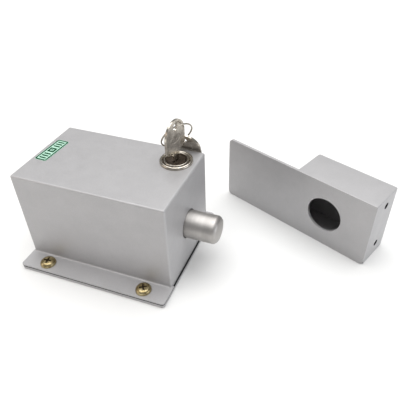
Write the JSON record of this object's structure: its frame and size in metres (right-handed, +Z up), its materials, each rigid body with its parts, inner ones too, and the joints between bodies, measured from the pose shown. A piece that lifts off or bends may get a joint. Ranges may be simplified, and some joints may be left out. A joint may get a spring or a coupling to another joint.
{
  "type": "electric door strike",
  "caption": "Solenoid bolt lock in a folded steel housing with a key override cylinder, spare key on a ring, round shoot bolt, and its loose strike plate with bolt box.",
  "frame": {"origin": "centre of the lock's base plate, on its underside", "axes": "+X the way the bolt shoots, +Y to the back of the housing, +Z up out of the base plate"},
  "size_m": [0.2433, 0.1357, 0.1023],
  "materials": {
    "painted_steel": "silver grey semi-gloss powder paint",
    "black_rubber": "moulded matt",
    "yellow_zinc": "yellow passivated zinc plate on steel",
    "turned_steel": "fine turned",
    "spring_steel": "drawn wire",
    "zinc_steel": "clear zinc plate",
    "nickel": "bright nickel plate",
    "brass": "machined",
    "black_nylon": "moulded",
    "winding_tape": "polyester tape over copper winding",
    "lead_insulation": "extruded",
    "printed_label": "printed film"
  },
  "bodies": {
    "housing": {"base_plate": "painted_steel", "cover_gasket": "black_rubber", "cover": "painted_steel", "cover_screw_1": "yellow_zinc", "cover_screw_2": "yellow_zinc", "cover_screw_3": "yellow_zinc", "cover_screw_4": "yellow_zinc", "bolt_carrier": "zinc_steel", "carrier_screw_1": "zinc_steel", "carrier_screw_2": "zinc_steel", "solenoid_frame": "zinc_steel", "solenoid_screw_1": "zinc_steel", "solenoid_screw_2": "zinc_steel", "bobbin": "black_nylon", "coil": "winding_tape", "core_stop": "zinc_steel", "terminal_block": "black_nylon", "terminal_screw_1": "brass", "terminal_screw_2": "brass", "coil_lead_1": "lead_insulation", "coil_lead_2": "lead_insulation", "cable_grommet": "black_rubber", "lock_cylinder": "nickel", "cylinder_nut": "nickel", "cylinder_washer": "zinc_steel", "label": "printed_label", "bolt_spring": "spring_steel"},
    "bolt_train": {"bolt": "turned_steel", "plunger": "zinc_steel", "link_pin": "turned_steel", "release_pin": "turned_steel"},
    "key_plug": {"plug": "nickel", "cam": "zinc_steel", "cam_screw": "zinc_steel"},
    "key_in_use": {"key": "nickel"},
    "key_ring": {"key_ring": "nickel"},
    "spare_key": {"spare_key": "nickel"},
    "strike": {"strike_plate": "painted_steel", "strike_box": "painted_steel"}
  },
  "joints": [
    {"name": "bolt_slide", "type": "slide", "parent": "housing", "child": "bolt_train", "axis": [-1, 0, 0], "range_m": [0, 0.022], "stiffness_N_per_m": 120, "springref_m": -0.012, "deforming": ["bolt_spring"]},
    {"name": "key_turn", "type": "hinge", "parent": "housing", "child": "key_plug", "pos_m": [0.0398, 0.0176, 0.0725], "axis": [0, 0, -1], "range_deg": [0, 64.1]},
    {"name": "key_withdraw", "type": "slide", "parent": "key_plug", "child": "key_in_use", "axis": [0, 0, 1], "range_m": [0, 0.022]},
    {"name": "ring_lift", "type": "hinge", "parent": "key_in_use", "child": "key_ring", "pos_m": [0.0398, 0.0176, 0.0973], "axis": [0.9903, -0.1392, 0], "range_deg": [0, 65.1]},
    {"name": "spare_key_swing", "type": "hinge", "parent": "key_ring", "child": "spare_key", "pos_m": [0.0395, 0.03225, 0.08], "axis": [0, 0.9397, 0.342], "range_deg": [-12, 12]},
    {"name": "strike_swing", "type": "hinge", "parent": "housing", "child": "strike", "pos_m": [0.07428, 0.06973, 0.0271], "axis": [0, 0, 1], "range_deg": [-66.94, 0]}
  ],
  "couplings": [
    {"joint": "key_turn", "follows": "bolt_slide", "rad_per_m": 50.773},
    {"joint": "ring_lift", "follows": "bolt_slide", "rad_per_m": 51.566}
  ]
}
